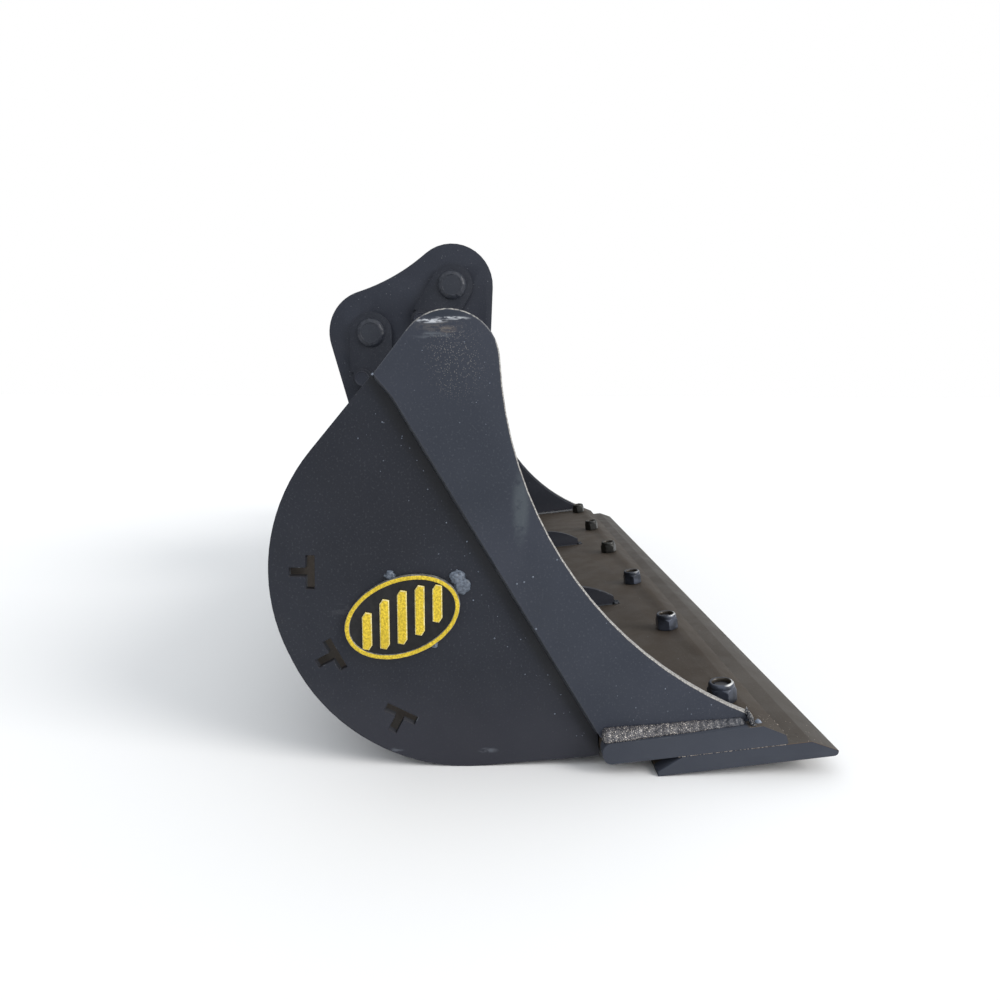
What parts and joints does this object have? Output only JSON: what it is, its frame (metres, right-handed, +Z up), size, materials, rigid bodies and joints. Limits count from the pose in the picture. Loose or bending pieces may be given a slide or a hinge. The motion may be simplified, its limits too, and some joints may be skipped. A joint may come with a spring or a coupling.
{
  "type": "excavator grading bucket",
  "caption": "Wide welded grading bucket: curved shell, swept side plates with cutter strips, thick lip with a bolt-on reversible edge, and two ears with removable pins.",
  "frame": {"origin": "bottom centre of the bucket's box, on the ground that it rests on", "axes": "+X across the bucket's width, -Y the way the blade points, +Z up"},
  "size_m": [1.5, 0.67, 0.6764],
  "materials": {
    "side_paint": "charcoal blue-grey shop paint, satin, dusty",
    "strip_paint": "slate grey shop paint, satin, bare bright steel along the worn front edge",
    "inside_paint": "grey shop paint with a brown cast of dust, satin",
    "ear_paint": "charcoal blue-grey shop paint, satin",
    "edge_paint": "slate grey paint over rolled steel, satin",
    "weld_paint": "rough weld metal under thin glossy paint",
    "fastener_steel": "dark blue-black steel, semi-gloss, bright where worn",
    "pin_steel": "ground hardened steel, painted over at the ends",
    "badge_paint": "yellow and black speckled paint on a cast plate"
  },
  "bodies": {
    "bucket": {"ear_left": "ear_paint", "cutting_edge": "edge_paint", "ear_right": "ear_paint", "lock_nut_1": "fastener_steel", "lock_nut_2": "fastener_steel", "lock_nut_3": "fastener_steel", "lock_nut_4": "fastener_steel", "lock_nut_5": "fastener_steel", "lock_nut_6": "fastener_steel", "lip_plate": "inside_paint", "side_plate_left": "side_paint", "side_plate_right": "side_paint", "shell_plate": "inside_paint", "torque_tube": "ear_paint", "ear_boss_front_left": "ear_paint", "ear_bush_front_left": "pin_steel", "ear_boss_rear_left": "ear_paint", "ear_bush_rear_left": "pin_steel", "ear_boss_front_right": "ear_paint", "ear_bush_front_right": "pin_steel", "ear_boss_rear_right": "ear_paint", "ear_bush_rear_right": "pin_steel", "badge_plate_left": "badge_paint", "badge_plate_right": "badge_paint", "plow_bolt_1": "fastener_steel", "plow_bolt_2": "fastener_steel", "plow_bolt_3": "fastener_steel", "plow_bolt_4": "fastener_steel", "plow_bolt_5": "fastener_steel", "plow_bolt_6": "fastener_steel", "side_strip_left": "strip_paint", "side_strip_right": "strip_paint", "inner_rib_left": "side_paint", "inner_rib_right": "side_paint", "ear_brace": "ear_paint", "shell_lip_weld": "weld_paint", "lip_weld_left": "weld_paint", "lip_weld_right": "weld_paint"},
    "front_pin": {"pin_front": "pin_steel", "pin_flag_front": "ear_paint", "pin_weld_front": "weld_paint", "lock_bolt_front": "fastener_steel"},
    "rear_pin": {"pin_rear": "pin_steel", "pin_flag_rear": "ear_paint", "pin_weld_rear": "weld_paint", "lock_bolt_rear": "fastener_steel"}
  },
  "joints": [
    {"name": "front_pin_slide", "type": "slide", "parent": "bucket", "child": "front_pin", "axis": [-1, 0, 0], "range_m": [0, 0.26]},
    {"name": "rear_pin_slide", "type": "slide", "parent": "bucket", "child": "rear_pin", "axis": [-1, 0, 0], "range_m": [0, 0.26]}
  ]
}
